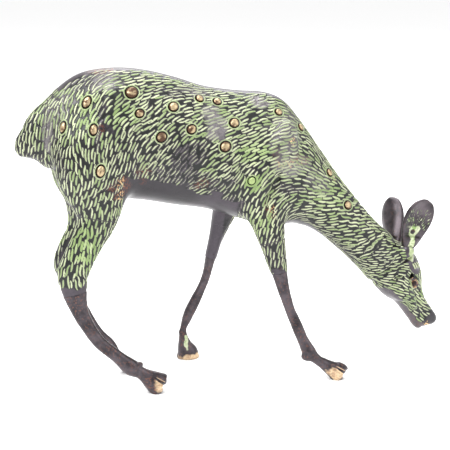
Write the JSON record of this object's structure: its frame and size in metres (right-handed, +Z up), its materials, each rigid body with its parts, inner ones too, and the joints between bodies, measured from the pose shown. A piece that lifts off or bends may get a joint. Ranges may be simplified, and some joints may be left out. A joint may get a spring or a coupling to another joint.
{
  "type": "deer figurine",
  "caption": "Free-standing cast bronze figurine of a grazing spotted doe with a hollow two-part body, pinned legs, neck and ears, and polished studs for its spots.",
  "frame": {"origin": "on the ground under the middle of the figurine's outline", "axes": "+X from the tail toward the head, +Y toward the animal's left side, +Z up"},
  "size_m": [0.287, 0.0814, 0.2054],
  "materials": {
    "fur_bronze": "cast bronze with raised fur strokes dry-brushed in pale green over a dark brown patina",
    "dark_bronze": "smooth cast bronze with a dark brown patina, semi-gloss, rubbed bright on the hoof edges",
    "spot_brass": "polished bronze domes, darker in the groove around each one",
    "eye_copper": "rubbed copper-coloured bronze",
    "pin_bronze": "filed bronze under the same dark patina",
    "dowel_brass": "plain drawn brass"
  },
  "bodies": {
    "root": {"body_shell_left": "fur_bronze", "body_shell_right": "fur_bronze", "dowel_back": "dowel_brass", "dowel_belly": "dowel_brass", "dowel_chest": "dowel_brass", "dowel_rump": "dowel_brass", "ear_left": "dark_bronze", "ear_right": "dark_bronze", "eye_left": "eye_copper", "eye_right": "eye_copper", "fore_left_hip_pin": "pin_bronze", "fore_left_knee_pin": "pin_bronze", "fore_leg_lower_left": "dark_bronze", "fore_leg_lower_right": "dark_bronze", "fore_leg_upper_left": "fur_bronze", "fore_leg_upper_right": "fur_bronze", "fore_right_hip_pin": "pin_bronze", "fore_right_knee_pin": "pin_bronze", "head": "fur_bronze", "hind_left_hip_pin": "pin_bronze", "hind_left_knee_pin": "pin_bronze", "hind_leg_lower_left": "dark_bronze", "hind_leg_lower_right": "dark_bronze", "hind_leg_upper_left": "fur_bronze", "hind_leg_upper_right": "fur_bronze", "hind_right_hip_pin": "pin_bronze", "hind_right_knee_pin": "pin_bronze", "neck_pin": "pin_bronze", "spot_stud_left_01": "spot_brass", "spot_stud_left_02": "spot_brass", "spot_stud_left_03": "spot_brass", "spot_stud_left_04": "spot_brass", "spot_stud_left_05": "spot_brass", "spot_stud_left_06": "spot_brass", "spot_stud_left_07": "spot_brass", "spot_stud_left_08": "spot_brass", "spot_stud_left_09": "spot_brass", "spot_stud_left_10": "spot_brass", "spot_stud_left_11": "spot_brass", "spot_stud_left_12": "spot_brass", "spot_stud_right_01": "spot_brass", "spot_stud_right_02": "spot_brass", "spot_stud_right_03": "spot_brass", "spot_stud_right_04": "spot_brass", "spot_stud_right_05": "spot_brass", "spot_stud_right_06": "spot_brass", "spot_stud_right_07": "spot_brass", "spot_stud_right_08": "spot_brass", "spot_stud_right_09": "spot_brass", "spot_stud_right_10": "spot_brass", "spot_stud_right_11": "spot_brass", "spot_stud_right_12": "spot_brass", "spot_stud_right_13": "spot_brass", "spot_stud_right_14": "spot_brass", "spot_stud_right_15": "spot_brass", "spot_stud_right_16": "spot_brass", "spot_stud_right_17": "spot_brass", "spot_stud_right_18": "spot_brass", "tail": "fur_bronze"}
  },
  "joints": []
}
